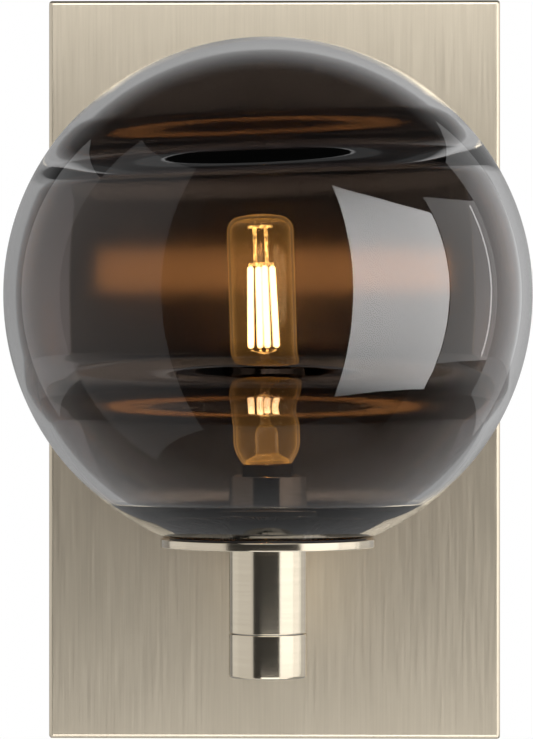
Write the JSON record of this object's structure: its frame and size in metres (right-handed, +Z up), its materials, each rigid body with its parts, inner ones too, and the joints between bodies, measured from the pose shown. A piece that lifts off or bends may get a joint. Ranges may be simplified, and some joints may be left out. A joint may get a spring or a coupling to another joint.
{
  "type": "globe wall sconce",
  "caption": "Wall sconce with a tall brushed metal backplate, an arm to an upright socket tube, and a smoked glass globe with inner rings over a tubular filament lamp.",
  "frame": {"origin": "middle of the backplate's outline, on the wall plane", "axes": "+Z up, +Y into the wall, +X to the right for someone who faces the wall"},
  "size_m": [0.15, 0.195, 0.2286],
  "materials": {
    "satin_nickel": "brushed",
    "plated_steel": "satin",
    "green_screw": "satin",
    "black_plastic": "matte",
    "black_rubber": "matte",
    "smoke_glass": "polished",
    "brass": "satin",
    "clear_glass": "polished",
    "mount_glass": "polished",
    "filament": "matte",
    "support_wire": "satin",
    "collar_ceramic": "gloss",
    "bulb_base_metal": "satin",
    "base_insulator": "gloss"
  },
  "bodies": {
    "fixture": {"backplate": "satin_nickel", "crossbar": "plated_steel", "ground_screw": "green_screw", "side_screws": "satin_nickel", "arm": "satin_nickel", "arm_nipple": "plated_steel", "arm_washer": "plated_steel", "arm_nut": "plated_steel", "wire_bushing": "black_plastic", "socket_tube": "satin_nickel", "glass_seat": "satin_nickel", "seat_gasket": "black_rubber", "grip_sleeve": "black_rubber", "socket_insulator": "black_plastic", "socket_shell": "brass", "socket_contact": "brass", "socket_terminals": "brass", "socket_shelf": "plated_steel", "socket_nipple": "plated_steel", "socket_nut": "plated_steel"},
    "globe": {"globe_glass": "smoke_glass"},
    "lamp_tip": {"bulb_tip": "bulb_base_metal"},
    "lamp": {"bulb_envelope": "clear_glass", "bulb_mount": "mount_glass", "bulb_filaments": "filament", "bulb_supports": "support_wire", "bulb_collar": "collar_ceramic", "bulb_shell": "bulb_base_metal", "bulb_insulator": "base_insulator"},
    "cap_ring": {"cap_thread_ring": "plated_steel"},
    "cap": {"end_cap": "satin_nickel"}
  },
  "joints": [
    {"name": "globe_lift", "type": "slide", "parent": "fixture", "child": "globe", "axis": [0, 0, 1], "range_m": [0, 0.11]},
    {"name": "lamp_rise", "type": "slide", "parent": "fixture", "child": "lamp_tip", "axis": [0, 0, 1], "range_m": [0, 0.00889]},
    {"name": "lamp_turn", "type": "hinge", "parent": "lamp_tip", "child": "lamp", "pos_m": [0, -0.12, -0.04], "axis": [0, 0, 1], "range_deg": [0, 1285]},
    {"name": "cap_drop", "type": "slide", "parent": "fixture", "child": "cap_ring", "axis": [0, 0, -1], "range_m": [0, 0.005]},
    {"name": "cap_turn", "type": "hinge", "parent": "cap_ring", "child": "cap", "pos_m": [0, -0.12, -0.08], "axis": [0, 0, -1], "range_deg": [0, 1830]}
  ],
  "couplings": [
    {"joint": "lamp_turn", "follows": "lamp_rise", "rad_per_m": 2473.7},
    {"joint": "cap_turn", "follows": "cap_drop", "rad_per_m": 6283.2}
  ]
}
